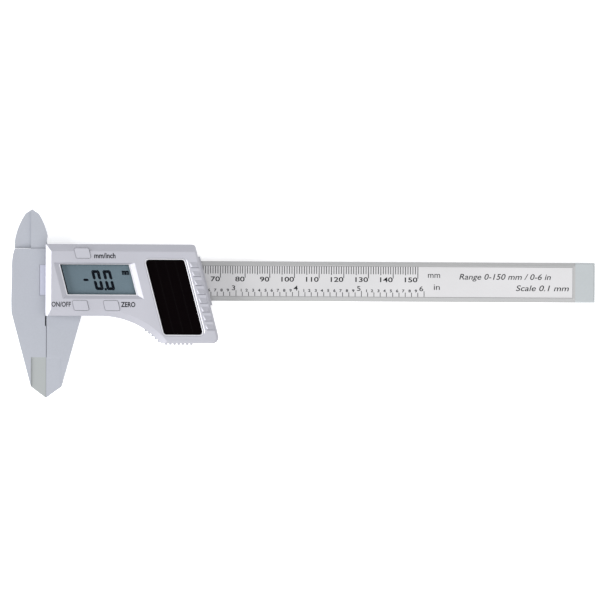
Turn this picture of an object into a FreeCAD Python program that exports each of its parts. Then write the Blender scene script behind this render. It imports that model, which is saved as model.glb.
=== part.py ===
import FreeCAD, Part
import os
import re
import Sketcher

# Digital caliper, 0 to 150 mm, lying on its back with the display facing +Z.
# Local X runs along the beam from the closed jaw faces, local Y across it; millimetres.
SIZES = {
    "middle_x": 104.01, "middle_y": -9.5,
    "beam_half": 8.05, "back_z": 3.2, "front_z": 7.0, "rim_z": 5.8, "rim_flat": 6.55,
    "beam_start": -10, "stop_left": 214.3, "stop_right": 222.2,
    "recess_half": 6.2, "recess_left": -2.8, "recess_right": 213.3, "recess_z": 6.2,
    "groove_half": 1.6, "groove_top": 4.9, "groove_left": 18,
    "tongue_half": 5.5, "tongue_length": 5.2, "tongue_low": 4.95, "tongue_high": 6.15,
    "strip_thick": 0.55, "label_thick": 0.15, "strip_margin": 0.1, "strip_left": -2.7,
    "jaw_gap": 0.02, "jaw_tip": -47.7, "knee_low": -43.2, "tip_start": -31, "tip_run": 0.8,
    "tip_cut": 0.35, "tip_half": 6.1, "edge_wide": 0.28, "edge_deep": 0.5,
    "relief_wide": 0.5, "relief_low": -18.6,
    "step_y": 12.75, "blade_split": 5.15, "blade_gap": 0.1, "blade_line": -6.4,
    "blade_tip": 28.7, "blade_front": 6.4, "arm_low": 12.9,
    "frame_low": 1.5, "frame_top": 8.0, "cover_left": 0.02, "cover_top": 14.6,
    "waist_y": -14.4, "arc_x": 22, "arc_y": -47.45, "arc_r": 33.05, "foot_x": 46.8,
    "foot_y": -25.3, "lean": 0.26, "cover_right": 64.0, "inset": 0.4,
    "sleeve_right": 64.7, "sleeve_half": 9.9,
    "channel_half": 8.17, "channel_low": 3.08, "channel_high": 7.15, "rib_left": 2, "rib_right": 62.2,
    "rib_z": 5.88, "rib_y": 6.59,
    "board_z": 7.15, "board_half": 10.4, "board_left": 2.4, "board_right": 57, "board_thick": 0.8,
    "tab_half": 12.7, "face_z": 15, "wall": 1.5, "skin": 1.8,
    "bevel_drop": 2.2, "bevel_left": 2.4, "bevel_top": 2.95, "bevel_low": 2.6, "low_drop": 1.3,
    "arc_bevel": 2.6, "side_bevel": 0.7, "corner_r": 2.4, "top_r": 1.2,
    "window_low": -5.75, "window_high": 6.35, "window_left": 7.5, "window_right": 35.25,
    "frame_y_low": -7.5, "frame_y_high": 7.05, "frame_left": 5.2, "frame_right": 37.85,
    "window_z": 13.85, "lens_thick": 0.7, "glass_z": 10.7, "glass_thick": 1.7, "foil_thick": 0.2,
    "cell_low": -21.8, "cell_high": 8.4, "cell_left": 42.4, "cell_right": 58.15, "cell_z": 14.3,
    "cell_thick": 1.1, "cell_r": 1.3, "cell_rim": 0.75, "cell_rim_right": 1.15,
    "key_w": 5.9, "key_d": 4.0, "key_r": 0.6, "key_top": 15.2, "key_gap": 0.14, "key_foot": 8.6,
    "flange": 0.6,
    "mm_x": 14.95, "mm_y": 10.9, "on_x": 14.3, "on_y": -10.2, "zero_x": 26.8, "zero_y": -10.2,
    "grip_x": 61.75, "grip_y": 5.4, "grip_pitch": 3.58, "grip_long": 2.5, "grip_wide": 0.9, "grip_proud": 0.4,
    "groove_long": 3.1, "groove_wide": 0.3, "groove_deep": 0.6,
    "tooth_first": 48.2, "tooth_pitch": 1.7, "tooth_wide": 0.8, "tooth_out": 0.7, "arc_tooth": 0.45,
    "back_thick": 1.5, "screw_r": 0.85, "head_r": 1.6, "head_z": 0.9, "boss_r": 1.9,
    "blunt": 0.773, "sharp": 1.294, "side_x": 0.2516, "side_y": 0.9678,
    "glass_low": -7.0, "glass_high": 8.2, "glass_left": 4.2, "glass_right": 37.6,
    "rod_half": 1.3, "rod_low": 3.45, "rod_high": 4.65, "rod_left": 30, "rod_end": 222.0,
    "rod_foot": 6, "flange_half": 3.0,
}
SCREWS = (("4.4", "12.3"), ("4.4", "-12.3"), ("55.5", "12.3"), ("66.5", "-22.4"))
KEYS = (("mm_inch_key", "mm_x", "mm_y"), ("on_off_key", "on_x", "on_y"), ("zero_key", "zero_x", "zero_y"))

doc = FreeCAD.newDocument("DigitalCaliper")
sheet = doc.addObject("Spreadsheet::Sheet", "Dims")
for row, (name, size) in enumerate(SIZES.items(), start=1):
    sheet.set("A%d" % row, str(size))
    sheet.setAlias("A%d" % row, name)
    sheet.set("B%d" % row, name.replace("_", " ") + ", mm")
doc.recompute()


def bound(text):
    """Turn sheet names in a formula into references to the sheet."""
    def swap(found):
        return "Dims." + found.group(0) if found.group(0) in SIZES else found.group(0)
    return re.sub(r"[a-z][a-z_0-9]*", swap, str(text))


def value(text):
    """Work a formula out as a number."""
    return float(sheet.evalExpression(str(text)))


def place(made):
    """Move a finished piece so that the object's middle stands on the origin."""
    made.setExpression("Placement.Base.x", bound("-middle_x"))
    made.setExpression("Placement.Base.y", bound("-middle_y"))


def new_body(label):
    """Start a sub-part with its own label and placement."""
    made = doc.addObject("PartDesign::Body", label)
    made.Label = label
    place(made)
    return made


def sketch(body, role, lift):
    """Lay a sketch on one of the body's own planes, raised along its normal."""
    made = body.newObject("Sketcher::SketchObject", "Outline")
    flat = next(entry for entry in body.Origin.OriginFeatures if entry.Role == role)
    made.AttachmentSupport = [(flat, "")]
    made.MapMode = "FlatFace"
    made.setExpression(".AttachmentOffset.Base.z", bound(lift))
    return made


def curve(start, end, radius):
    """An arc from start to end; its centre is on the left for a positive radius."""
    middle = (start + end) * 0.5
    run = end - start
    away = (radius ** 2 - (run.Length / 2) ** 2) ** 0.5
    side = FreeCAD.Vector(-run.y, run.x, 0).normalize() * (1 if radius > 0 else -1)
    centre = middle + side * away
    crown = centre - side * abs(radius)
    return Part.Arc(start, crown, end)


def loop(made, corners):
    """Draw a closed outline; a corner is x, y and, where an arc follows it, its radius."""
    points = [FreeCAD.Vector(value(corner[0]), value(corner[1]), 0) for corner in corners]
    ends = []
    for number, corner in enumerate(corners):
        start = points[number]
        end = points[(number + 1) % len(points)]
        if len(corner) == 3:
            edge = made.addGeometry(curve(start, end, value(corner[2])))
            arc = made.Geometry[edge]
            ends.append((edge, 1, 2) if arc.StartPoint.isEqual(start, 1e-4) else (edge, 2, 1))
            at = made.addConstraint(Sketcher.Constraint("Radius", edge, arc.Radius))
            made.setExpression("Constraints[%d]" % at, bound("abs(%s)" % corner[2]))
        else:
            ends.append((made.addGeometry(Part.LineSegment(start, end)), 1, 2))
    for number, corner in enumerate(corners):
        before = ends[number - 1]
        edge = ends[number]
        made.addConstraint(Sketcher.Constraint("Coincident", before[0], before[2], edge[0], edge[1]))
        for kind, size in (("DistanceX", corner[0]), ("DistanceY", corner[1])):
            at = made.addConstraint(Sketcher.Constraint(kind, -1, 1, edge[0], edge[1], value(size)))
            made.setExpression("Constraints[%d]" % at, bound(size))


def shape_step(body, kind, role, lift, length, loops):
    """Pad up from, or pocket down from, a sketch of one or more outlines."""
    made = sketch(body, role, lift)
    for corners in loops:
        loop(made, corners)
    step = body.newObject("PartDesign::" + kind, kind)
    step.Profile = made
    step.setExpression("Length", bound(length))
    body.Tip = step
    return step


def block(left, right, low, high):
    """Corners of an upright rectangle."""
    return [(left, low), (right, low), (right, high), (left, high)]


def leaning(left, right, low, high):
    """Corners of a rectangle whose sides lean to the left as they rise."""
    return [("%s - lean * (%s)" % (left, low), low), ("%s - lean * (%s)" % (right, low), low),
            ("%s - lean * (%s)" % (right, high), high), ("%s - lean * (%s)" % (left, high), high)]


def rounded(left, right, low, high, radius):
    """A leaning rectangle with its four corners rounded."""
    low_left = "%s - lean * (%s)" % (left, low)
    low_right = "%s - lean * (%s)" % (right, low)
    high_left = "%s - lean * (%s)" % (left, high)
    high_right = "%s - lean * (%s)" % (right, high)
    blunt = "blunt * %s" % radius
    sharp = "sharp * %s" % radius
    return [("%s + %s" % (low_left, blunt), low),
            ("%s - %s" % (low_right, sharp), low, radius),
            ("%s - side_x * %s" % (low_right, sharp), "%s + side_y * %s" % (low, sharp)),
            ("%s + side_x * %s" % (high_right, blunt), "%s - side_y * %s" % (high, blunt), radius),
            ("%s - %s" % (high_right, blunt), high),
            ("%s + %s" % (high_left, sharp), high, radius),
            ("%s + side_x * %s" % (high_left, sharp), "%s - side_y * %s" % (high, sharp)),
            ("%s - side_x * %s" % (low_left, blunt), "%s + side_y * %s" % (low, blunt), radius)]


def key_outline(middle_x, middle_y, grow):
    """Corners of a push-button, grown all round by a margin."""
    middle = "%s + lean * (%s)" % (middle_x, middle_y)
    wide = "(key_w / 2 + %s)" % grow
    deep = "(key_d / 2 + %s)" % grow
    return rounded("%s - %s" % (middle, wide), "%s + %s" % (middle, wide), "%s - %s" % (middle_y, deep),
                   "%s + %s" % (middle_y, deep), "(key_r + %s)" % grow)


def housing_outline(shrink):
    """Corners of the slider's casing seen from the display side."""
    right = "cover_right - %s" % shrink
    low = "foot_y + %s" % shrink
    high = "cover_top - %s" % shrink
    return [("cover_left + %s" % shrink, "waist_y + %s" % shrink), ("cover_left + %s" % shrink, high),
            ("%s - lean * (%s)" % (right, high), high), ("%s - lean * (%s)" % (right, low), low),
            ("foot_x", low, "arc_r + %s" % shrink), ("arc_x", "waist_y + %s" % shrink)]


def round_edges(body, radius, wanted):
    """Fillet the edges that a test picks out."""
    doc.recompute()
    names = ["Edge%d" % (number + 1) for number, edge in enumerate(body.Shape.Edges) if wanted(edge)]
    before = body.Tip
    step = body.newObject("PartDesign::Fillet", "Fillet")
    step.Base = (before, names)
    step.setExpression("Radius", bound(radius))
    body.Tip = step


def upright(edge, right, low, high):
    """Whether an edge stands along Z beyond a place and between two levels."""
    first = edge.Vertexes[0].Point
    last = edge.Vertexes[-1].Point
    straight = (first - last).cross(FreeCAD.Vector(0, 0, 1)).Length < 1e-6
    across = first.x + value("middle_x")
    along = first.y + value("middle_y")
    return straight and across > right and low < along < high


def round_casing(body, shrink):
    """Round the two right-hand corners of a casing layer."""
    round_edges(body, "corner_r - %s" % shrink, lambda edge: upright(edge, 65, -30, -20))
    round_edges(body, "top_r - %s" % shrink, lambda edge: upright(edge, 55, 12, 20))


def main_beam():
    """Beam, fixed jaw and fixed inside blade, moulded in one."""
    body = new_body("main_beam")
    bar = [("-beam_half", "back_z"), ("beam_half", "back_z"), ("beam_half", "rim_z"), ("rim_flat", "front_z"),
           ("-rim_flat", "front_z"), ("-beam_half", "rim_z")]
    shape_step(body, "Pad", "YZ_Plane", "beam_start", "stop_left - beam_start", [bar])
    jaw = [("-jaw_gap", "jaw_tip"), ("-jaw_gap", "step_y"), ("-12.9", "step_y", "-24"), ("-13.97", "3.8"),
           ("-14.18", "-8.4"),
           ("-14.07", "-13.2"), ("-6.05", "knee_low")]
    shape_step(body, "Pad", "XY_Plane", "back_z", "front_z - back_z", [jaw])
    blade = [("blade_line", "step_y - 1"), ("-0.12", "step_y - 1"), ("-0.12", "15.2", "26"),
             ("0.35", "18.05", "26"),
             ("-3.3", "26.9"), ("-6.0", "blade_tip"), ("blade_line", "blade_tip - 0.3")]
    shape_step(body, "Pad", "XY_Plane", "blade_split", "blade_front - blade_split", [blade])
    strip = block("recess_left", "recess_right", "-recess_half", "recess_half")
    shape_step(body, "Pocket", "XY_Plane", "front_z", "front_z - recess_z", [strip])
    groove = block("groove_left", "stop_left + 1", "-groove_half", "groove_half")
    shape_step(body, "Pocket", "XY_Plane", "groove_top", "groove_top - back_z", [groove])
    tongue = block("-tongue_half", "tongue_half", "tongue_low", "tongue_high")
    shape_step(body, "Pad", "YZ_Plane", "stop_left - 0.1", "tongue_length + 0.1", [tongue])
    relief = block("-relief_wide", "1", "relief_low", "waist_y + 1")
    shape_step(body, "Pocket", "XY_Plane", "front_z", "front_z - back_z - 0.6", [relief])
    thin_jaw_tip(body, "1")
    return body


def thin_jaw_tip(body, right):
    """Thin a measuring jaw beside its edge towards the tip, front and back."""
    front = [("tip_start", "front_z"), ("tip_start", "front_z + 1"), ("jaw_tip - 1", "front_z + 1"),
             ("jaw_tip - 1", "front_z - tip_cut"), ("tip_start - tip_run", "front_z - tip_cut")]
    back = [("tip_start", "back_z"), ("tip_start", "back_z - 1"), ("jaw_tip - 1", "back_z - 1"),
            ("jaw_tip - 1", "back_z + tip_cut"), ("tip_start - tip_run", "back_z + tip_cut")]
    shape_step(body, "Pocket", "YZ_Plane", right, "tip_half + 1", [front, back])


def end_stop():
    """Block on the beam's end that stops the slider and gives the depth datum."""
    body = new_body("end_stop")
    full = block("-beam_half", "beam_half", "back_z", "front_z")
    shape_step(body, "Pad", "YZ_Plane", "stop_left", "stop_right - stop_left", [full])
    slot = block("-tongue_half - 0.02", "tongue_half + 0.02", "tongue_low - 0.02", "tongue_high + 0.02")
    shape_step(body, "Pocket", "YZ_Plane", "stop_left + tongue_length + 0.05", "tongue_length + 0.05", [slot])
    groove = block("stop_left - 1", "stop_right + 1", "-groove_half", "groove_half")
    shape_step(body, "Pocket", "XY_Plane", "tongue_low - 0.02", "tongue_low - 0.02 - back_z", [groove])
    doc.recompute()
    names = ["Edge%d" % (number + 1) for number, edge in enumerate(body.Shape.Edges)
             if all(abs(corner.Z - value("front_z")) < 1e-6 for corner in edge.Vertexes)
             and edge.CenterOfMass.x > value("stop_left - middle_x") + 0.1]
    before = body.Tip
    step = body.newObject("PartDesign::Chamfer", "Chamfer")
    step.Base = (before, names)
    step.Size = 0.6
    body.Tip = step
    return body


def strip_piece(label, low, thick):
    """A thin strip lying in the beam's recess."""
    body = new_body(label)
    flat = block("strip_left", "recess_right - strip_margin",
                 "strip_margin - recess_half", "recess_half - strip_margin")
    shape_step(body, "Pad", "XY_Plane", low, thick, [flat])
    return body


def slider_frame():
    """Slider frame with the moving jaw, the moving inside blade and the beam channel."""
    body = new_body("slider_frame")
    shape_step(body, "Pad", "XY_Plane", "frame_low", "frame_top - frame_low", [housing_outline("inset")])
    round_casing(body, "inset")
    sleeve = [("50", "-sleeve_half"), ("sleeve_right + lean * sleeve_half", "-sleeve_half"),
              ("sleeve_right - lean * sleeve_half", "sleeve_half"), ("50", "sleeve_half")]
    shape_step(body, "Pad", "XY_Plane", "frame_low", "frame_top - frame_low", [sleeve])
    jaw = [("jaw_gap", "-9"), ("jaw_gap", "jaw_tip"), ("6.2", "knee_low"), ("14.15", "-14.3"),
           ("14.15", "-9")]
    shape_step(body, "Pad", "XY_Plane", "back_z", "front_z - back_z", [jaw])
    blade = [("5", "arm_low"), ("5", "14"), ("0.3", "14"), ("-0.4", "17.2"), ("blade_line", "17.2"),
             ("blade_line", "blade_tip - 0.3"), ("-8.57", "27.0", "27"), ("-12.96", "15.96"),
             ("-12.96", "arm_low")]
    shape_step(body, "Pad", "XY_Plane", "back_z", "blade_split - blade_gap - back_z", [blade])
    teeth = []
    for number in range(7):
        left = "tooth_first + %d * tooth_pitch" % number
        teeth.append(block(left, left + " + tooth_wide", "foot_y - tooth_out", "foot_y + 1"))
    for number in range(5):
        angle = "(43.4 deg + %d * 3 deg)" % number
        corners = []
        for reach, turn in (("arc_tooth", "0"), ("arc_tooth", "1.5"), ("(-1)", "1.5"), ("(-1)", "0")):
            radius = "(arc_r - %s)" % reach
            corners.append(("arc_x + %s * cos(%s + %s deg)" % (radius, angle, turn),
                            "arc_y + %s * sin(%s + %s deg)" % (radius, angle, turn)))
        teeth.append(corners)
    shape_step(body, "Pad", "XY_Plane", "frame_low", "frame_top - frame_low", teeth)
    channel = block("-channel_half", "channel_half", "channel_low", "channel_high")
    shape_step(body, "Pocket", "YZ_Plane", "80", "81", [channel])
    board = block("board_left - 0.2", "board_right + 0.2", "-board_half - 0.2", "board_half + 0.2")
    shape_step(body, "Pocket", "XY_Plane", "frame_top", "frame_top - board_z", [board])
    tabs = [block("mm_x - 5.2", "mm_x + 5.2", "board_half", "tab_half + 0.2"),
            block("on_x - 5.2", "zero_x + 5.2", "-tab_half - 0.2", "-board_half")]
    shape_step(body, "Pocket", "XY_Plane", "frame_top", "frame_top - board_z", tabs)
    rib = [("channel_half", "rib_z"), ("channel_half", "channel_high"), ("rib_y", "channel_high")]
    mirror = [("-channel_half", "rib_z"), ("-channel_half", "channel_high"), ("-rib_y", "channel_high")]
    shape_step(body, "Pad", "YZ_Plane", "rib_left", "rib_right - rib_left", [rib, mirror])
    well = leaning("43.5", "57.5", "-23", "-12.5")
    shape_step(body, "Pocket", "XY_Plane", "frame_top", "frame_top - channel_low", [well])
    slot = block("rod_left - 0.05", "rod_left + rod_foot + 0.05", "-rod_half - 0.05", "rod_half + 0.05")
    shape_step(body, "Pocket", "XY_Plane", "back_z", "3", [slot])
    flange = block("rod_left - 2.05", "rod_left + rod_foot + 2.05",
                   "-flange_half - 0.05", "flange_half + 0.05")
    shape_step(body, "Pocket", "XY_Plane", "frame_low + 0.6", "3", [flange])
    at_screws(body, "Pocket", "frame_top", "8", "screw_r")
    edge = [("jaw_gap + edge_wide", "front_z"), ("jaw_gap - edge_wide", "front_z - 2 * edge_deep"),
            ("jaw_gap - edge_wide", "front_z + 1")]
    shape_step(body, "Pocket", "XZ_Plane", "1 - jaw_tip", "1 - jaw_tip + waist_y", [edge])
    thin_jaw_tip(body, "tip_half")
    return body


def at_screws(body, kind, lift, depth, radius):
    """Pad up from, or bore down from, a level at the four casing screws."""
    made = sketch(body, "XY_Plane", lift)
    for across, along in SCREWS:
        centre = FreeCAD.Vector(value(across), value(along), 0)
        edge = made.addGeometry(Part.Circle(centre, FreeCAD.Vector(0, 0, 1), value(radius)))
        for side, size in (("DistanceX", across), ("DistanceY", along)):
            made.addConstraint(Sketcher.Constraint(side, -1, 1, edge, 3, value(size)))
        at = made.addConstraint(Sketcher.Constraint("Radius", edge, value(radius)))
        made.setExpression("Constraints[%d]" % at, bound(radius))
    step = body.newObject("PartDesign::" + kind, kind)
    step.Profile = made
    step.setExpression("Length", bound(depth))
    body.Tip = step


def front_cover():
    """Silver display cover with bevelled edges, windows and button holes."""
    body = new_body("front_cover")
    shape_step(body, "Pad", "XY_Plane", "frame_top", "face_z - frame_top", [housing_outline("0")])
    round_casing(body, "0")
    doc.recompute()
    before = body.Tip
    names = ["Edge%d" % (number + 1) for number, edge in enumerate(body.Shape.Edges)
             if all(abs(corner.Z - value("face_z")) < 1e-6 for corner in edge.Vertexes)
             and (edge.CenterOfMass.x > value("60 - middle_x")
                  or edge.CenterOfMass.y < value("-25 - middle_y"))]
    step = body.newObject("PartDesign::Chamfer", "Chamfer")
    step.Base = (before, names)
    step.setExpression("Size", bound("side_bevel"))
    body.Tip = step
    top = [("cover_top - bevel_top", "face_z"), ("cover_top + 1", "face_z + bevel_drop / bevel_top"),
           ("cover_top + 1", "face_z - bevel_drop * (1 + 1 / bevel_top)")]
    shape_step(body, "Pocket", "YZ_Plane", "80", "81", [top])
    low = [("waist_y + bevel_low", "face_z"),
           ("waist_y - 1", "face_z - low_drop * (1 + 1 / bevel_low)"),
           ("waist_y - 1", "face_z + 1")]
    shape_step(body, "Pocket", "YZ_Plane", "arc_x", "arc_x + 1", [low])
    left = [("cover_left + bevel_left", "face_z"),
            ("cover_left - 1", "face_z - bevel_drop * (1 + 1 / bevel_left)"),
            ("cover_left - 1", "face_z + 1")]
    shape_step(body, "Pocket", "XZ_Plane", "30", "60", [left])
    arc_bevel(body)
    shape_step(body, "Pocket", "XY_Plane", "face_z - skin", "face_z - skin - frame_top", cover_cavities())
    at_screws(body, "Pad", "frame_top + 0.4", "face_z - bevel_drop - frame_top - 1", "boss_r")
    at_screws(body, "Pocket", "frame_top + 4", "5", "screw_r")
    window_frame(body, leaning("frame_left", "frame_right", "frame_y_low", "frame_y_high"),
                 leaning("window_left", "window_right", "window_low", "window_high"), "window_z")
    window_frame(body, rounded("cell_left - cell_rim", "cell_right + cell_rim_right", "cell_low - cell_rim",
                               "cell_high + cell_rim", "(cell_r + 0.8)"),
                 rounded("cell_left", "cell_right", "cell_low", "cell_high", "cell_r"), "cell_z")
    shape_step(body, "Pocket", "XY_Plane", "face_z", "6", [key_outline(x, y, "key_gap") for _, x, y in KEYS])
    ridges = []
    grooves = []
    for number in range(8):
        level = "grip_y - %d * grip_pitch" % number
        ridges.append(leaning("grip_x - grip_long / 2", "grip_x + grip_long / 2",
                              level, level + " + grip_wide"))
        grooves.append(leaning("grip_x - groove_long / 2", "grip_x + groove_long / 2",
                               level + " - groove_wide", level))
    shape_step(body, "Pad", "XY_Plane", "face_z - 0.2", "grip_proud + 0.2", ridges)
    shape_step(body, "Pocket", "XY_Plane", "face_z", "groove_deep", grooves)
    return body


def cover_cavities():
    """Outline of the hollow inside the display cover."""
    right = "cover_right - wall"
    low = "foot_y + wall"
    high = "cover_top - wall - 0.6"
    return [[("cover_left + wall", "waist_y + wall + 0.3"), ("cover_left + wall", high),
             ("%s - lean * (%s)" % (right, high), high), ("%s - lean * (%s)" % (right, low), low),
             ("foot_x + 1", low, "arc_r + wall + 0.3"), ("arc_x", "waist_y + wall + 0.3")]]


def arc_bevel(body):
    """Bevel that follows the hollow curve under the display."""
    made = sketch(body, "XZ_Plane", "-arc_y")
    loop(made, [("arc_x + arc_r + arc_bevel", "face_z"),
                ("arc_x + arc_r - 0.5", "face_z - low_drop * (arc_bevel + 0.5) / arc_bevel"),
                ("arc_x + arc_r - 0.5", "face_z + 0.5")])
    line = made.addGeometry(Part.LineSegment(FreeCAD.Vector(value("arc_x"), 0, 0),
                                             FreeCAD.Vector(value("arc_x"), 20, 0)), True)
    made.addConstraint(Sketcher.Constraint("Vertical", line))
    at = made.addConstraint(Sketcher.Constraint("DistanceX", -1, 1, line, 1, value("arc_x")))
    made.setExpression("Constraints[%d]" % at, bound("arc_x"))
    made.addConstraint(Sketcher.Constraint("DistanceY", -1, 1, line, 1, 0.0))
    made.addConstraint(Sketcher.Constraint("DistanceY", line, 1, line, 2, 20.0))
    step = body.newObject("PartDesign::Groove", "Groove")
    step.Profile = made
    step.ReferenceAxis = (made, ["Axis0"])
    step.Angle = 360
    body.Tip = step


def window_frame(body, outer, inner, seat):
    """Cut a window with sloping sides down to a seat, then straight through."""
    upper = sketch(body, "XY_Plane", "face_z")
    loop(upper, outer)
    lower = sketch(body, "XY_Plane", seat)
    loop(lower, inner)
    step = body.newObject("PartDesign::SubtractiveLoft", "Loft")
    step.Profile = upper
    step.Sections = [lower]
    step.Ruled = True
    body.Tip = step
    shape_step(body, "Pocket", "XY_Plane", seat, "2", [inner])


def back_cover():
    """Plate that closes the slider from behind."""
    body = new_body("back_cover")
    shape_step(body, "Pad", "XY_Plane", "0", "back_thick", [housing_outline("inset")])
    round_casing(body, "inset")
    at_screws(body, "Pocket", "back_thick", "3", "screw_r + 0.1")
    at_screws(body, "Pocket", "head_z", "3", "head_r + 0.1")
    return body


def key(label, middle_x, middle_y):
    """Push-button cap with its flange and stem."""
    body = new_body(label)
    cap = key_outline(middle_x, middle_y, "0")
    shape_step(body, "Pad", "XY_Plane", "face_z - 3.6", "key_top - face_z + 3.6", [cap])
    stem = block("%s - 1.2" % middle_x, "%s + 1.2" % middle_x, "%s - 1.2" % middle_y, "%s + 1.2" % middle_y)
    shape_step(body, "Pad", "XY_Plane", "key_foot", "face_z - 3.5 - key_foot", [stem])
    ears = block("%s - key_w / 2 - flange" % middle_x, "%s + key_w / 2 + flange" % middle_x,
                 "%s - key_d / 2 + flange" % middle_y, "%s + key_d / 2 - flange" % middle_y)
    shape_step(body, "Pad", "XY_Plane", "face_z - skin - 1", "0.8", [ears])
    return body


def plate(label, corners, low, thick):
    """A flat piece with a straight-sided outline."""
    body = new_body(label)
    shape_step(body, "Pad", "XY_Plane", low, thick, corners)
    return body


def main_board():
    """Circuit board carrying the pickup pads, with tabs under the buttons."""
    top = "tab_half"
    outline = [("board_left", "-board_half"), ("on_x - 5", "-board_half"), ("on_x - 5", "-" + top),
               ("zero_x + 5", "-" + top), ("zero_x + 5", "-board_half"), ("board_right", "-board_half"),
               ("board_right", "board_half"), ("mm_x + 5", "board_half"), ("mm_x + 5", top),
               ("mm_x - 5", top), ("mm_x - 5", "board_half"), ("board_left", "board_half")]
    return plate("main_board", [outline], "board_z", "board_thick")


def depth_rod():
    """Rod that slides out of the beam's end, with a foot held in the slider."""
    body = new_body("depth_rod")
    bar = block("rod_left", "rod_end", "-rod_half", "rod_half")
    shape_step(body, "Pad", "XY_Plane", "rod_low", "rod_high - rod_low", [bar])
    neck = block("rod_left", "rod_left + rod_foot", "-rod_half", "rod_half")
    shape_step(body, "Pad", "XY_Plane", "frame_low", "rod_low - frame_low + 0.1", [neck])
    foot = block("rod_left - 2", "rod_left + rod_foot + 2", "-flange_half", "flange_half")
    shape_step(body, "Pad", "XY_Plane", "frame_low", "0.55", [foot])
    return body


def solids(label, pieces):
    """Several separate solids of one kind, as one sub-part."""
    made = doc.addObject("Part::Compound", label)
    made.Label = label
    made.Links = pieces
    place(made)
    return made


def box_piece(across, along, low, long, wide, tall):
    """A small block centred across and along, standing on a level."""
    made = doc.addObject("Part::Box", "Block")
    for name, text in (("Length", long), ("Width", wide), ("Height", tall)):
        made.setExpression(name, bound(text))
    made.setExpression("Placement.Base.x", bound("%s - (%s) / 2" % (across, long)))
    made.setExpression("Placement.Base.y", bound("%s - (%s) / 2" % (along, wide)))
    made.setExpression("Placement.Base.z", bound(low))
    return made


def round_piece(across, along, low, radius, tall):
    """A small upright cylinder standing on a level."""
    made = doc.addObject("Part::Cylinder", "Round")
    made.setExpression("Radius", bound(radius))
    made.setExpression("Height", bound(tall))
    made.setExpression("Placement.Base.x", bound(across))
    made.setExpression("Placement.Base.y", bound(along))
    made.setExpression("Placement.Base.z", bound(low))
    return made


def cover_screws():
    """Four screws that hold the back plate, the frame and the display cover together."""
    pieces = []
    for across, along in SCREWS:
        shank = round_piece(across, along, "0.4", "screw_r - 0.02", "frame_top + 3")
        head = round_piece(across, along, "0.1", "head_r", "head_z - 0.12")
        slot_a = box_piece(across, along, "0", "0.4", "1.9", "0.5")
        slot_b = box_piece(across, along, "0", "1.9", "0.4", "0.5")
        whole = doc.addObject("Part::MultiFuse", "Screw")
        whole.Shapes = [shank, head]
        cross = doc.addObject("Part::MultiFuse", "Cross")
        cross.Shapes = [slot_a, slot_b]
        cut = doc.addObject("Part::Cut", "DrivenScrew")
        cut.Base = whole
        cut.Tool = cross
        pieces.append(cut)
    return solids("cover_screws", pieces)


def electronics():
    """Board parts, display stack, cell leads and the rest inside the slider."""
    top = "board_z + board_thick"
    made = [plate("display_lens", [leaning("window_left - 0.9", "window_right + 0.9", "window_low - 0.9",
                                           "window_high + 0.9")], "face_z - skin - lens_thick", "lens_thick")]
    glass = block("glass_left", "glass_right", "glass_low", "glass_high")
    under = "glass_z - foil_thick"
    made.append(plate("lcd_glass", [glass], "glass_z", "glass_thick"))
    made.append(plate("lcd_reflector", [glass], under, "foil_thick"))
    cradle = [block("glass_left - 0.6", "glass_right + 0.6", "glass_low - 0.6", "glass_high + 0.2")]
    holder = plate("lcd_holder", cradle, top, "%s - (%s)" % (under, top))
    inner = block("glass_left + 1", "glass_right - 1", "glass_low + 2.6", "glass_high - 1")
    shape_step(holder, "Pocket", "XY_Plane", under, "4", [inner])
    pads = block("glass_left + 2", "glass_right - 2", "glass_low + 0.2", "glass_low + 2.0")
    shape_step(holder, "Pocket", "XY_Plane", under, "4", [pads])
    made.append(holder)
    zebra = block("glass_left + 2.1", "glass_right - 2.1", "glass_low + 0.3", "glass_low + 1.9")
    made.append(plate("zebra_strip", [zebra], top, "%s - (%s)" % (under, top)))
    made.append(main_board())
    made.append(solids("controller_chip", [round_piece("20", "1.5", top, "3.6", "1.2")]))
    made.append(solids("crystal", [box_piece("30", "1.5", top, "4.6", "1.6", "1.4")]))
    parts = [box_piece(x, y, top, "1.6", "0.8", "0.7") for x, y in
             (("9", "4"), ("9", "1.5"), ("9", "-1"), ("27.5", "5.2"), ("31.5", "5.2"), ("42", "6"),
              ("45", "6"), ("42", "3"), ("45", "3"))]
    made.append(solids("chip_parts", parts))
    made.append(solids("snap_domes", [round_piece(x, y, top, "1.5", "0.2") for _, x, y in KEYS]))
    can = box_piece("56", "-17.6", "channel_low + 0.1", "9", "6.5", "3.6")
    made.append(solids("storage_capacitor", [can]))
    reach = "cell_z - cell_thick - (%s)" % top
    made.append(solids("cell_leads", [round_piece(x, "-5", top, "0.35", reach) for x in ("45.4", "54.6")]))
    return made


def solar_cell():
    """Amorphous solar cell behind its black glass."""
    body = new_body("solar_cell")
    outline = rounded("cell_left + 0.02", "cell_right - 0.02", "cell_low + 0.02", "cell_high - 0.02",
                      "cell_r")
    shape_step(body, "Pad", "XY_Plane", "cell_z - cell_thick", "cell_thick", [outline])
    return body


main_beam()
end_stop()
strip_piece("stator_strip", "recess_z", "strip_thick")
strip_piece("scale_label", "recess_z + strip_thick", "label_thick")
slider_frame()
front_cover()
back_cover()
solar_cell()
depth_rod()
cover_screws()
electronics()
for key_label, key_x, key_y in KEYS:
    key(key_label, key_x, key_y)
doc.recompute()

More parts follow.
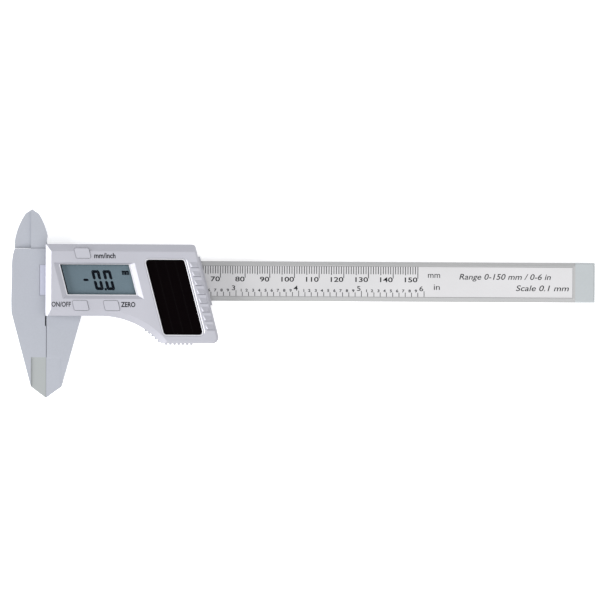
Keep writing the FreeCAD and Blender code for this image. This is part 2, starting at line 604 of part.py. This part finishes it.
os.makedirs("parts", exist_ok=True)
nodes = [made for made in doc.Objects if made.TypeId == "PartDesign::Body" or made.TypeId == "Part::Compound"]
for made in doc.Objects:
    if "Invalid" in made.State or "Error" in made.State:
        raise RuntimeError("%s did not compute" % made.FullName)
for made in nodes:
    if made.Shape.isNull() or not made.Shape.isValid():
        raise RuntimeError("%s has no valid shape" % made.Label)
    print(made.Label, round(made.Shape.Volume, 2), len(made.Shape.Solids), made.Shape.BoundBox)
    made.Shape.exportStep("parts/%s.step" % made.Label)
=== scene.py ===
import math

import bpy
import bmesh
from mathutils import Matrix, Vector


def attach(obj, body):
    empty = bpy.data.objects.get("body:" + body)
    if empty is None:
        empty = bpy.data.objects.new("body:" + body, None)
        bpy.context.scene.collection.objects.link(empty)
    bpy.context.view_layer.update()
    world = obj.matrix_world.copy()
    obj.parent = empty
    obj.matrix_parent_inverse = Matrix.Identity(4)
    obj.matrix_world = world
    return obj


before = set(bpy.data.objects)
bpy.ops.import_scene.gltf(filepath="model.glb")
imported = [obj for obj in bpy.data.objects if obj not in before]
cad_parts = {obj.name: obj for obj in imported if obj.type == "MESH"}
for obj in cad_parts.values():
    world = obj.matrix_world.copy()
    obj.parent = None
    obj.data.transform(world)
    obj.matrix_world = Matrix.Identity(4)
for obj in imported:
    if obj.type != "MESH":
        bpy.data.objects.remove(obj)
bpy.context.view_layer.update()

# The drawing is in millimetres: x along the beam from the closed jaw faces, y across it from
# the beam's middle, z up from the back of the slider. These two are the drawing's centre.
MIDDLE_X = 104.01
MIDDLE_Y = -9.5

INCH = 25.4
WINDOW_LEAN = 0.26
DIGIT_LEAN = 0.2586
COVER_FACE = 15.0
LABEL_FACE = 6.9
GLASS_FACE = 12.4
CELL_FACE = 14.3
PRINT_THICK = 0.02
READING_LIFT = 0.05
# Height of the painted shadow strip above the display glass.
EDGE_SHADOW_LIFT = 0.03

# Windows as left, right, low, high, at the height of the drawing's middle line.
CELL_WINDOW = (42.4, 58.15, -21.8, 8.4)
DISPLAY_WINDOW = (7.5, 35.25, -5.75, 6.35)

# The marks start a little to the right of the jaw faces.
MM_SHIFT = 0.5
INCH_SHIFT = 0.65

# The colour sockets of a Mix node.
MIX_FIRST = 6
MIX_SECOND = 7
MIX_RESULT = 2


def at(x, y, z):
    """A drawing point in metres, in the object's frame."""
    return Vector(((x - MIDDLE_X) / 1000, (y - MIDDLE_Y) / 1000, z / 1000))


def shade(rgb):
    """An sRGB colour, 0 to 255, as linear values."""
    return [(c / 255 / 12.92) if c <= 10 else ((c / 255 + 0.055) / 1.055) ** 2.4 for c in rgb]


def surface(name, rgb, rough, grain, relief, metal=0.0, coat=0.0, clouds=0.03, shine=0.5):
    """A procedural finish: fine grain, soft clouding, uneven gloss and a little relief.

    Grain is a scale and a strength of colour; relief is a scale and a strength of bump.
    """
    cloud_scale = 38
    gloss_spread = 0.08
    relief_depth = 0.0002
    made = bpy.data.materials.new(name)
    made.use_nodes = True
    nodes = made.node_tree.nodes
    links = made.node_tree.links
    shader = nodes["Principled BSDF"]
    shader.inputs["Metallic"].default_value = metal
    shader.inputs["Coat Weight"].default_value = coat
    shader.inputs["Specular IOR Level"].default_value = shine
    shader.inputs["Coat Roughness"].default_value = 0.12
    place = nodes.new("ShaderNodeTexCoord")
    fine = nodes.new("ShaderNodeTexNoise")
    fine.inputs["Scale"].default_value = grain[0]
    fine.inputs["Detail"].default_value = 4
    wide = nodes.new("ShaderNodeTexNoise")
    wide.inputs["Scale"].default_value = cloud_scale
    wide.inputs["Detail"].default_value = 2
    for noise in (fine, wide):
        links.new(place.outputs["Object"], noise.inputs["Vector"])
    base = shade(rgb)
    tone = nodes.new("ShaderNodeMix")
    tone.data_type = "RGBA"
    tone.inputs[MIX_FIRST].default_value = [c * (1 - grain[1]) for c in base] + [1]
    tone.inputs[MIX_SECOND].default_value = [min(1, c * (1 + grain[1])) for c in base] + [1]
    links.new(fine.outputs["Fac"], tone.inputs["Factor"])
    cloud = nodes.new("ShaderNodeMix")
    cloud.data_type = "RGBA"
    cloud.blend_type = "MULTIPLY"
    cloud.inputs["Factor"].default_value = 1
    ramp = nodes.new("ShaderNodeMapRange")
    ramp.inputs["From Min"].default_value = 0.3
    ramp.inputs["From Max"].default_value = 0.7
    ramp.inputs["To Min"].default_value = 1 - clouds
    ramp.inputs["To Max"].default_value = 1 + clouds
    links.new(wide.outputs["Fac"], ramp.inputs["Value"])
    links.new(tone.outputs[MIX_RESULT], cloud.inputs[MIX_FIRST])
    links.new(ramp.outputs["Result"], cloud.inputs[MIX_SECOND])
    links.new(cloud.outputs[MIX_RESULT], shader.inputs["Base Color"])
    gloss = nodes.new("ShaderNodeMapRange")
    gloss.inputs["To Min"].default_value = max(0.02, rough - gloss_spread)
    gloss.inputs["To Max"].default_value = min(1, rough + gloss_spread)
    links.new(wide.outputs["Fac"], gloss.inputs["Value"])
    links.new(gloss.outputs["Result"], shader.inputs["Roughness"])
    pits = nodes.new("ShaderNodeTexNoise")
    pits.inputs["Scale"].default_value = relief[0]
    links.new(place.outputs["Object"], pits.inputs["Vector"])
    bump = nodes.new("ShaderNodeBump")
    bump.inputs["Strength"].default_value = relief[1]
    bump.inputs["Distance"].default_value = relief_depth
    links.new(pits.outputs["Fac"], bump.inputs["Height"])
    links.new(bump.outputs["Normal"], shader.inputs["Normal"])
    return made


def finish_node(node, made, soften):
    """Give a CAD node its material and, for a width above 0, softly rounded edges."""
    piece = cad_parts[node]
    piece.data.materials.clear()
    piece.data.materials.append(made)
    if soften:
        edge = piece.modifiers.new("soft_edges", "BEVEL")
        edge.width = soften / 1000
        edge.segments = 2
        edge.limit_method = "ANGLE"
        edge.angle_limit = math.radians(28)
        edge.harden_normals = False


def flat_piece(name, points, faces, made, body):
    """A piece from ready points and faces, riding on a body."""
    mesh = bpy.data.meshes.new(name)
    mesh.from_pydata(points, [], faces)
    mesh.update()
    piece = bpy.data.objects.new(name, mesh)
    bpy.context.scene.collection.objects.link(piece)
    mesh.materials.append(made)
    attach(piece, body)
    return piece


def letters(words, wide, lean, weight):
    """Points and faces of a line of text: baseline on y 0, start at x 0, capitals 1 high."""
    points = []
    faces = []
    for sample in ("H", words):
        curve = bpy.data.curves.new("words", "FONT")
        curve.body = sample
        curve.offset = 0.0 if sample == "H" else weight
        curve.resolution_u = 4
        holder = bpy.data.objects.new("words", curve)
        mesh = bpy.data.meshes.new_from_object(holder)
        heights = [corner.co.y for corner in mesh.vertices]
        if sample == "H":
            tall = max(heights) - min(heights)
        else:
            points = [(corner.co.x / tall, corner.co.y / tall) for corner in mesh.vertices]
            faces = [list(face.vertices) for face in mesh.polygons]
        bpy.data.objects.remove(holder)
        bpy.data.curves.remove(curve)
        bpy.data.meshes.remove(mesh)
    start = min(x for x, _ in points)
    return [((x - start) * wide + lean * y, y) for x, y in points], faces


class Print:
    """Collects flat printed shapes at one height, then makes one piece of them."""

    def __init__(self, height):
        self.height = height
        self.points = []
        self.faces = []

    def add(self, points, faces):
        first = len(self.points)
        self.points += [at(x, y, self.height) for x, y in points]
        self.faces += [[first + corner for corner in face] for face in faces]

    def bar(self, x, low, high, thick):
        self.add([(x - thick / 2, low), (x + thick / 2, low), (x + thick / 2, high), (x - thick / 2, high)],
                 [[0, 1, 2, 3]])

    def outline(self, points):
        self.add(points, [list(range(len(points)))])

    def text(self, words, x, y, tall, wide=1.0, lean=0.0, side=0.0, fit=None, weight=0.0):
        points, faces = letters(words, wide, lean, weight)
        long = max(px for px, _ in points) * tall
        stretch = fit / long if fit else 1.0
        start = x - side * long * stretch
        self.add([(start + px * tall * stretch, y + py * tall) for px, py in points], faces)

    def make(self, name, made, body):
        return flat_piece(name, self.points, self.faces, made, body)


# ---------------------------------------------------------------- materials
beam_composite = surface("blue_grey_composite", (163, 166, 174), rough=0.5, grain=(1400, 0.05),
                         relief=(3200, 0.05))
slider_composite = surface("slider_composite", (163, 166, 174), rough=0.5, grain=(1400, 0.05),
                           relief=(3200, 0.05))
stop_grey = surface("stop_composite", (175, 180, 182), rough=0.5, grain=(1200, 0.04), relief=(3000, 0.05))
silver = surface("silver_paint", (178, 178, 186), rough=0.36, metal=0.25, grain=(4200, 0.07),
                 relief=(5200, 0.03), coat=0.15)
# A paler copy of the silver paint for the window lips: a painted highlight, so the lips show as bright lines
# round the windows.
lip_highlight_silver = surface("lip_highlight_silver", (208, 208, 212), rough=0.34, metal=0.15, grain=(3000, 0.05),
                     relief=(3600, 0.03), coat=0.15)
key_silver = surface("key_silver", (175, 175, 183), rough=0.42, grain=(3000, 0.05), relief=(3600, 0.04))
label_film = surface("label_film", (196, 195, 196), rough=0.42, metal=0.1, grain=(2600, 0.03),
                     relief=(900, 0.01))
ink = surface("printing_ink", (22, 24, 28), rough=0.6, grain=(3000, 0.2), relief=(3000, 0.03), shine=0.1)
ink_light = surface("fine_printing_ink", (48, 50, 54), rough=0.6, grain=(3000, 0.2), relief=(3000, 0.03),
                    shine=0.1)
lcd_face = surface("lcd_blue_grey", (102, 118, 127), rough=0.3, grain=(2600, 0.03), relief=(400, 0.003),
                   clouds=0.05, shine=0.1)
lcd_dark = surface("lcd_segment", (6, 11, 20), rough=0.3, grain=(2000, 0.1), relief=(400, 0.003), shine=0.05)
solar_black = surface("solar_black", (7, 4, 5), rough=0.06, grain=(600, 0.25), relief=(120, 0.002),
                      shine=0.015)
# Dark colour for the painted shadow strip along the display's left and upper edges.
edge_shadow_black = surface("edge_shadow_black", (34, 40, 46), rough=0.5, grain=(2000, 0.1), relief=(1500, 0.02), shine=0.1)
solar_line = surface("solar_line", (11, 8, 9), rough=0.2, grain=(600, 0.25), relief=(300, 0.01), shine=0.1)
board_green = surface("board_green", (34, 92, 52), rough=0.4, grain=(500, 0.12), relief=(900, 0.05),
                      coat=0.3)
strip_green = surface("strip_green", (96, 116, 80), rough=0.5, grain=(500, 0.12), relief=(900, 0.05))
resin = surface("black_resin", (18, 18, 19), rough=0.28, grain=(700, 0.2), relief=(500, 0.05))
steel = surface("zinc_steel", (176, 176, 178), rough=0.3, metal=1.0, grain=(1800, 0.08), relief=(2600, 0.05))
tinned = surface("tinned_lead", (190, 184, 172), rough=0.32, metal=1.0, grain=(1500, 0.08),
                 relief=(1500, 0.04))
foil = surface("reflector_foil", (214, 216, 216), rough=0.4, metal=0.8, grain=(1500, 0.04),
               relief=(1500, 0.04))
white_plastic = surface("white_plastic", (222, 221, 215), rough=0.45, grain=(900, 0.03), relief=(2000, 0.03))
silicone = surface("zebra_silicone", (120, 70, 66), rough=0.6, grain=(3600, 0.3), relief=(2000, 0.03))
ceramic = surface("chip_ceramic", (150, 128, 100), rough=0.5, grain=(1800, 0.1), relief=(2000, 0.03))
sleeve = surface("capacitor_sleeve", (28, 40, 86), rough=0.35, grain=(900, 0.1), relief=(900, 0.03))

lens = bpy.data.materials.new("clear_lens")
lens.use_nodes = True
lens_shader = lens.node_tree.nodes["Principled BSDF"]
lens_shader.inputs["Roughness"].default_value = 0.05
lens_shader.inputs["Alpha"].default_value = 0.03
lens_shader.inputs["Specular IOR Level"].default_value = 0.15
lens_shader.inputs["Base Color"].default_value = (0.02, 0.025, 0.03, 1)
lens_noise = lens.node_tree.nodes.new("ShaderNodeTexNoise")
lens_noise.inputs["Scale"].default_value = 300
lens_bump = lens.node_tree.nodes.new("ShaderNodeBump")
lens_bump.inputs["Strength"].default_value = 0.005
lens.node_tree.links.new(lens_noise.outputs["Fac"], lens_bump.inputs["Height"])
lens.node_tree.links.new(lens_bump.outputs["Normal"], lens_shader.inputs["Normal"])

# Each CAD node with its finish and the width of its soft edges in millimetres.
NODE_FINISHES = (
    ("main_beam", beam_composite, 0.2),
    ("end_stop", stop_grey, 0.15),
    ("stator_strip", strip_green, 0.0),
    ("scale_label", label_film, 0.0),
    ("slider_frame", slider_composite, 0.2),
    ("front_cover", silver, 0.12),
    ("back_cover", beam_composite, 0.12),
    ("solar_cell", solar_black, 0.0),
    ("depth_rod", beam_composite, 0.1),
    ("cover_screws", steel, 0.06),
    ("display_lens", lens, 0.0),
    ("lcd_glass", lcd_face, 0.0),
    ("lcd_reflector", foil, 0.0),
    ("lcd_holder", white_plastic, 0.0),
    ("zebra_strip", silicone, 0.0),
    ("main_board", board_green, 0.0),
    ("controller_chip", resin, 0.3),
    ("crystal", steel, 0.3),
    ("chip_parts", ceramic, 0.0),
    ("snap_domes", steel, 0.05),
    ("storage_capacitor", sleeve, 0.4),
    ("cell_leads", tinned, 0.0),
    ("mm_inch_key", key_silver, 0.18),
    ("on_off_key", key_silver, 0.18),
    ("zero_key", key_silver, 0.18),
)
for node_name, finish, soft_edge in NODE_FINISHES:
    finish_node(node_name, finish, soft_edge)


# ---------------------------------------------------------------- tone changes and painted light
def position(made):
    """A node giving the object's own x, y and z inside a finish."""
    nodes = made.node_tree.nodes
    place = nodes.new("ShaderNodeTexCoord")
    split = nodes.new("ShaderNodeSeparateXYZ")
    made.node_tree.links.new(place.outputs["Object"], split.inputs["Vector"])
    return split


def colour_blend(made):
    """Put a colour blend between a finish's colour and its shader."""
    links = made.node_tree.links
    colour = made.node_tree.nodes["Principled BSDF"].inputs["Base Color"]
    blend = made.node_tree.nodes.new("ShaderNodeMix")
    blend.data_type = "RGBA"
    links.new(colour.links[0].from_socket, blend.inputs[MIX_FIRST])
    links.new(blend.outputs[MIX_RESULT], colour)
    return blend


def along(made, start, stop):
    """A range node that follows the object from one place along the beam to another."""
    span = made.node_tree.nodes.new("ShaderNodeMapRange")
    span.inputs["From Min"].default_value = at(start, 0, 0).x
    span.inputs["From Max"].default_value = at(stop, 0, 0).x
    made.node_tree.links.new(position(made).outputs["X"], span.inputs["Value"])
    return span


def drift_along(made, start, stop, first, last):
    """Multiply a finish's tone by an amount that changes along the beam: a painted fall-off of light."""
    span = along(made, start, stop)
    span.inputs["To Min"].default_value = first
    span.inputs["To Max"].default_value = last
    blend = colour_blend(made)
    blend.blend_type = "MULTIPLY"
    blend.inputs["Factor"].default_value = 1
    made.node_tree.links.new(span.outputs["Result"], blend.inputs[MIX_SECOND])


def paler_along(made, start, stop, rgb):
    """Let a finish's colour pass into another one along the beam."""
    span = along(made, start, stop)
    blend = colour_blend(made)
    blend.inputs[MIX_SECOND].default_value = shade(rgb) + [1]
    made.node_tree.links.new(span.outputs["Result"], blend.inputs["Factor"])


def compare(made, socket, rule, level):
    """A node that is 1 where a socket is past a level."""
    test = made.node_tree.nodes.new("ShaderNodeMath")
    test.operation = rule
    test.inputs[1].default_value = level
    made.node_tree.links.new(socket, test.inputs[0])
    return test


def patch(made, left, right, top, rgb):
    """Give a rectangle of a finish, from a level down, another colour."""
    links = made.node_tree.links
    split = position(made)
    inside = compare(made, split.outputs["X"], "GREATER_THAN", at(left, 0, 0).x)
    for axis, level in (("X", at(right, 0, 0).x), ("Y", at(0, top, 0).y)):
        test = compare(made, split.outputs[axis], "LESS_THAN", level)
        both = made.node_tree.nodes.new("ShaderNodeMath")
        both.operation = "MULTIPLY"
        links.new(inside.outputs[0], both.inputs[0])
        links.new(test.outputs[0], both.inputs[1])
        inside = both
    blend = colour_blend(made)
    blend.inputs[MIX_SECOND].default_value = shade(rgb) + [1]
    links.new(inside.outputs[0], blend.inputs["Factor"])


# Painted light: the label film is made paler towards the beam's right end, where it is lit more strongly.
drift_along(label_film, 60, 213, 1.0, 1.11)
# Painted shade: the fixed jaw's thinned tip, below y -31.3, is coloured darker and a little greener, as its
# bevel is lit less.
patch(beam_composite, -6.1, 0.0, -31.3, (157, 161, 161))
# From x 20 to 58 the beam passes into a paler, neutral grey that holds to its far end: partly its own neutral
# tone, partly a painted brightening of the rims away from the slider.
paler_along(beam_composite, 20, 58, (171, 171, 171))
# From x 2 down to 0.5 the label film passes into a darker blue-grey: partly the bare recess's own tone,
# partly painted shade from the slider beside it.
paler_along(label_film, 2, 0.5, (184, 186, 201))
paler_along(slider_composite, 44, 52, (184, 184, 190))


# ---------------------------------------------------------------- printed scale
TICK_COUNT = 151
TICK_TOP = 6.1
TICK_WIDE = 0.3
TICK_LONG = {"ten": 4.75, "five": 3.4, "one": 3.05}
INCH_TICK_COUNT = 61
INCH_TICK_FOOT = -6.05
INCH_TICK_WIDE = 0.26
INCH_TICK_LONG = {"whole": 2.3, "tenth": 1.7}

# How far each number ends left of its mark, its baseline and its height.
MM_NUMBER = (0.2, -0.1, 1.85)
INCH_NUMBER = (0.35, -3.7, 1.9)
TENTH_NUMBER = (0.3, -4.2, 1.05)
LINE_TALL = 2.25
LINE_LEAN = 0.22

ticks = Print(LABEL_FACE + PRINT_THICK)
for count in range(TICK_COUNT):
    long = TICK_LONG["ten" if count % 10 == 0 else "five" if count % 5 == 0 else "one"]
    ticks.bar(count + MM_SHIFT, TICK_TOP - long, TICK_TOP, TICK_WIDE)
for count in range(INCH_TICK_COUNT):
    long = INCH_TICK_LONG["whole" if count % 10 == 0 else "tenth"]
    ticks.bar(count * INCH / 10 + INCH_SHIFT, INCH_TICK_FOOT, INCH_TICK_FOOT + long, INCH_TICK_WIDE)
ticks.make("scale_ticks", ink_light, "beam")

numbers = Print(LABEL_FACE + PRINT_THICK)
gap, base, tall = MM_NUMBER
for count in range(10, TICK_COUNT, 10):
    numbers.text(str(count), count + MM_SHIFT - gap, base, tall, wide=1.45, side=1.0, weight=0.014)
gap, base, tall = INCH_NUMBER
for count in range(1, 7):
    numbers.text(str(count), count * INCH + INCH_SHIFT - gap, base, tall, wide=1.3, side=1.0, weight=0.006)
numbers.text("mm", 154.6, 1.7, 2.35, fit=4.9)
numbers.text("in", 157.0, -3.15, 2.3, fit=2.4)
numbers.make("scale_numbers", ink, "beam")

fine_numbers = Print(LABEL_FACE + PRINT_THICK)
gap, base, tall = TENTH_NUMBER
for count in range(1, 60):
    if count % 10:
        fine_numbers.text(str(count % 10), count * INCH / 10 + INCH_SHIFT - gap, base, tall, wide=1.25,
                          side=1.0, weight=0.03)
fine_numbers.make("fine_numbers", ink_light, "beam")

capacity = Print(LABEL_FACE + PRINT_THICK)
capacity.text("Range 0-150 mm / 0-6 in", 167.3, 1.1, LINE_TALL, lean=LINE_LEAN, fit=37.1, weight=0.004)
capacity.text("Scale 0.1 mm", 190.2, -3.45, LINE_TALL, lean=LINE_LEAN, fit=21.5, weight=0.004)
capacity.make("capacity_line", ink, "beam")


# ---------------------------------------------------------------- legends
LOWER_LEGEND_BASE = -10.7
LOWER_LEGEND_TALL = 1.9
legends = Print(COVER_FACE + PRINT_THICK)
legends.text("mm/inch", 19.7, 8.95, 2.0, fit=8.6, weight=0.026)
legends.text("ON/OFF", 2.6, LOWER_LEGEND_BASE, LOWER_LEGEND_TALL, fit=7.8, weight=0.018)
legends.text("ZERO", 30.6, LOWER_LEGEND_BASE, LOWER_LEGEND_TALL, fit=5.8, weight=0.026)
legends.make("button_legends", ink, "slider")


# ---------------------------------------------------------------- display
def leaning(points, x, y):
    """Lean a drawing to the left as it rises, and set it at a place."""
    return [(x + px - DIGIT_LEAN * py, y + py) for px, py in points]


def digit(drawing, left, segments):
    """One seven-segment figure with cut corners, its lit segments named a to f."""
    half = 8.05 / 2
    wide = 3.3
    stroke = 1.14
    gap = 0.03
    split = 0.2
    cut = 0.5
    cap = [(cut, half), (wide - cut, half), (wide - cut / 2 - gap, half - cut / 2),
           (wide - stroke, half - stroke), (stroke, half - stroke), (cut / 2 + gap, half - cut / 2)]
    side = [(0, half - cut), (cut / 2, half - cut / 2 - gap), (stroke, half - stroke - gap),
            (stroke, stroke / 2 + split), (stroke / 2, split), (0, stroke / 2)]
    # Each segment's shape, whether it is turned left to right, and whether it is turned upside down.
    shapes = {"a": (cap, False, False), "b": (side, True, False), "c": (side, True, True),
              "d": (cap, False, True), "e": (side, False, True), "f": (side, False, False)}
    for name in segments:
        points, mirrored, inverted = shapes[name]
        turned = [(wide - x if mirrored else x, -y if inverted else y) for x, y in points]
        drawing.outline(leaning(turned, left, 0.05))


def slanted_bar(drawing, left, right, low, high):
    """An upright strip that leans with the windows."""
    drawing.outline([(left - WINDOW_LEAN * y, y) for y in (low, high)]
                    + [(right - WINDOW_LEAN * y, y) for y in (high, low)])


minus_sign = [(-1.15, -0.05), (-0.7, 0.45), (0.7, 0.45), (1.15, -0.05), (0.7, -0.5), (-0.7, -0.5)]
point_sign = [(-0.4, -0.45), (0.4, -0.45), (0.4, 0.45), (-0.4, 0.45)]
reading = Print(GLASS_FACE + READING_LIFT)
digit(reading, 19.3, "abcdef")
digit(reading, 23.85, "abcdef")
reading.outline(leaning(minus_sign, 16.3, 0.15))
reading.outline(leaning(point_sign, 24.3, -3.6))
reading.text("mm", 30.9, 2.4, 2.0, lean=-0.25, fit=2.9, weight=0.06)
reading.make("lcd_reading", lcd_dark, "slider")

# Painted shadow: a dark strip along the display's left and upper edges, where the window's walls shade the
# glass.
edge_shadow = Print(GLASS_FACE + EDGE_SHADOW_LIFT)
slanted_bar(edge_shadow, 6.9, 7.9, -6.2, 6.8)
edge_shadow.outline([(7.9 - WINDOW_LEAN * y, y) for y in (6.15, 6.8)]
             + [(36.0 - WINDOW_LEAN * y, y) for y in (6.8, 6.15)])
edge_shadow.make("lcd_edge_shadow", edge_shadow_black, "slider")

cell_lines = Print(CELL_FACE + PRINT_THICK)
cell_left, cell_right = CELL_WINDOW[:2]
for count in range(1, 4):
    middle = cell_left + (cell_right - cell_left) * count / 4
    slanted_bar(cell_lines, middle - 0.06, middle + 0.06, -20.9, 7.7)
cell_lines.make("cell_lines", solar_line, "slider")


# ---------------------------------------------------------------- window lips
def slanted_loop(window, radius, grow, steps=6):
    """Points round a leaning window, grown outwards by a margin, its corners rounded."""
    left, right, low, high = window
    aside = grow * math.hypot(1, WINDOW_LEAN)
    left -= aside
    right += aside
    low -= grow
    high += grow
    corners = [Vector((x - WINDOW_LEAN * y, y)) for x, y in ((left, low), (right, low), (right, high),
                                                             (left, high))]
    points = []
    for number, corner in enumerate(corners):
        before = (corners[number - 1] - corner).normalized()
        after = (corners[(number + 1) % 4] - corner).normalized()
        reach = (radius + grow) / math.tan(before.angle(after) / 2)
        start = corner + before * reach
        end = corner + after * reach
        for step in range(steps + 1):
            part = step / steps
            points.append(start * (1 - part) ** 2 + corner * 2 * part * (1 - part) + end * part ** 2)
    return points


def window_lip(name, window, radius, profile):
    """A small rounded lip round a window, from a profile of margins and heights."""
    points = []
    for grow, height in profile:
        points += [at(x, y, height) for x, y in slanted_loop(window, radius, grow)]
    around = len(points) // len(profile)
    faces = []
    for row in range(len(profile) - 1):
        inner = row * around
        outer = inner + around
        for step in range(around):
            after = (step + 1) % around
            faces.append([inner + step, inner + after, outer + after, outer + step])
    piece = flat_piece(name, points, faces, lip_highlight_silver, "slider")
    for face in piece.data.polygons:
        face.use_smooth = True


CELL_LIP = ((0.0, 14.28), (0.02, 14.7), (0.1, 14.9), (0.34, 14.95), (0.42, 14.9), (0.48, 14.75))
DISPLAY_LIP = ((0.0, 13.7), (0.02, 14.0), (0.08, 14.08), (0.28, 14.1), (0.36, 14.04), (0.4, 13.9))
window_lip("cell_lip", CELL_WINDOW, 1.3, CELL_LIP)
window_lip("display_lip", DISPLAY_WINDOW, 0.12, DISPLAY_LIP)


# ---------------------------------------------------------------- grip wedges
WEDGE_COUNT = 8
WEDGE_TOP_Y = 5.4
WEDGE_PITCH = 3.58
WEDGE_LEFT = 60.4
WEDGE_RUN = 2.2
WEDGE_RISE = 0.85
WEDGE_SINK = 0.05
WEDGE_FOOT = (-0.35, 2.75)
WEDGE_CREST = (0.35, 2.25)
WEDGE_CREST_BACK = 0.12
WEDGE_SOFT_EDGE = 0.12


def wedge(shape, y):
    """One thumb wedge on the cover, rising towards its lower, square end."""
    x = WEDGE_LEFT - WINDOW_LEAN * y
    lean = WINDOW_LEAN * WEDGE_RUN
    left, right = [x + offset for offset in WEDGE_FOOT]
    floor_z = COVER_FACE - WEDGE_SINK
    foot = [(left, y), (right, y), (right - lean, y + WEDGE_RUN), (left - lean, y + WEDGE_RUN)]
    crest = [(x + offset, y + WEDGE_CREST_BACK) for offset in WEDGE_CREST]
    low = [shape.verts.new(at(px, py, floor_z)) for px, py in foot]
    high = [shape.verts.new(at(px, py, floor_z + WEDGE_RISE)) for px, py in crest]
    shape.faces.new([low[0], low[1], high[1], high[0]])
    shape.faces.new([low[1], low[2], high[1]])
    shape.faces.new([low[2], low[3], high[0], high[1]])
    shape.faces.new([low[3], low[0], high[0]])
    shape.faces.new([low[3], low[2], low[1], low[0]])


def grip_wedges():
    """The row of thumb wedges as one piece."""
    shape = bmesh.new()
    for count in range(WEDGE_COUNT):
        wedge(shape, WEDGE_TOP_Y - WEDGE_PITCH * count)
    mesh = bpy.data.meshes.new("grip_wedges")
    shape.to_mesh(mesh)
    shape.free()
    piece = bpy.data.objects.new("grip_wedges", mesh)
    bpy.context.scene.collection.objects.link(piece)
    mesh.materials.append(silver)
    soft = piece.modifiers.new("soft_edges", "BEVEL")
    soft.width = WEDGE_SOFT_EDGE / 1000
    soft.segments = 2
    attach(piece, "slider")


grip_wedges()


# ---------------------------------------------------------------- stage
def lamp(name, place, aim, size, power):
    """A large soft lamp aimed at a point."""
    light = bpy.data.lights.new(name, "AREA")
    light.shape = "RECTANGLE"
    light.size, light.size_y = size
    light.energy = power
    light.color = (1, 1, 1)
    holder = bpy.data.objects.new(name, light)
    bpy.context.scene.collection.objects.link(holder)
    holder.location = place
    holder.rotation_mode = "QUATERNION"
    holder.rotation_quaternion = (Vector(aim) - Vector(place)).to_track_quat("-Z", "Y")


FLOOR_HALF = 3
FLOOR_LEVEL = -0.0002
FLOOR_CORNERS = [(-FLOOR_HALF, -FLOOR_HALF, FLOOR_LEVEL), (FLOOR_HALF, -FLOOR_HALF, FLOOR_LEVEL),
                 (FLOOR_HALF, FLOOR_HALF, FLOOR_LEVEL), (-FLOOR_HALF, FLOOR_HALF, FLOOR_LEVEL)]
floor_mesh = bpy.data.meshes.new("floor")
floor_mesh.from_pydata(FLOOR_CORNERS, [], [[0, 1, 2, 3]])
floor = bpy.data.objects.new("floor", floor_mesh)
bpy.context.scene.collection.objects.link(floor)
pale_floor = surface("pale_floor", (250, 250, 250), rough=0.9, grain=(60, 0.004), relief=(200, 0.0),
                     clouds=0.0)
floor_mesh.materials.append(pale_floor)
floor_shader = pale_floor.node_tree.nodes["Principled BSDF"]
floor_shader.inputs["Emission Color"].default_value = (1, 1, 1, 1)
floor_shader.inputs["Emission Strength"].default_value = 0.38

world = bpy.data.worlds.new("studio")
bpy.context.scene.world = world
world.use_nodes = True
background = world.node_tree.nodes["Background"]
background.inputs["Color"].default_value = (0.97, 0.98, 1.0, 1)
background.inputs["Strength"].default_value = 0.55

lamp("left_window", (-1.6, -0.25, 0.62), (-0.05, 0, 0), (1.4, 0.9), 33)
lamp("overhead", (0.5, -0.6, 1.8), (0, 0, 0), (2.4, 1.4), 20)
lamp("far_fill", (0.15, 1.5, 0.9), (0, 0, 0), (2.0, 0.8), 1.3)
lamp("right_fill", (1.6, 0.1, 0.9), (0, 0, 0), (1.2, 0.8), 1.8)

bpy.context.scene.view_settings.view_transform = "Standard"

SENSOR_WIDTH = 36
CAMERA_HEIGHT = 1.8
VIEW_WIDTH = 0.2431
camera_data = bpy.data.cameras.new("camera")
camera_data.sensor_width = SENSOR_WIDTH
camera_data.lens = SENSOR_WIDTH * CAMERA_HEIGHT / VIEW_WIDTH
camera = bpy.data.objects.new("camera", camera_data)
bpy.context.scene.collection.objects.link(camera)
camera.location = at(102.8, -7.55, 7.0) + Vector((0, 0, CAMERA_HEIGHT))
camera.rotation_euler = (0, 0, math.radians(0.3))
camera_data.clip_end = 20
bpy.context.scene.camera = camera
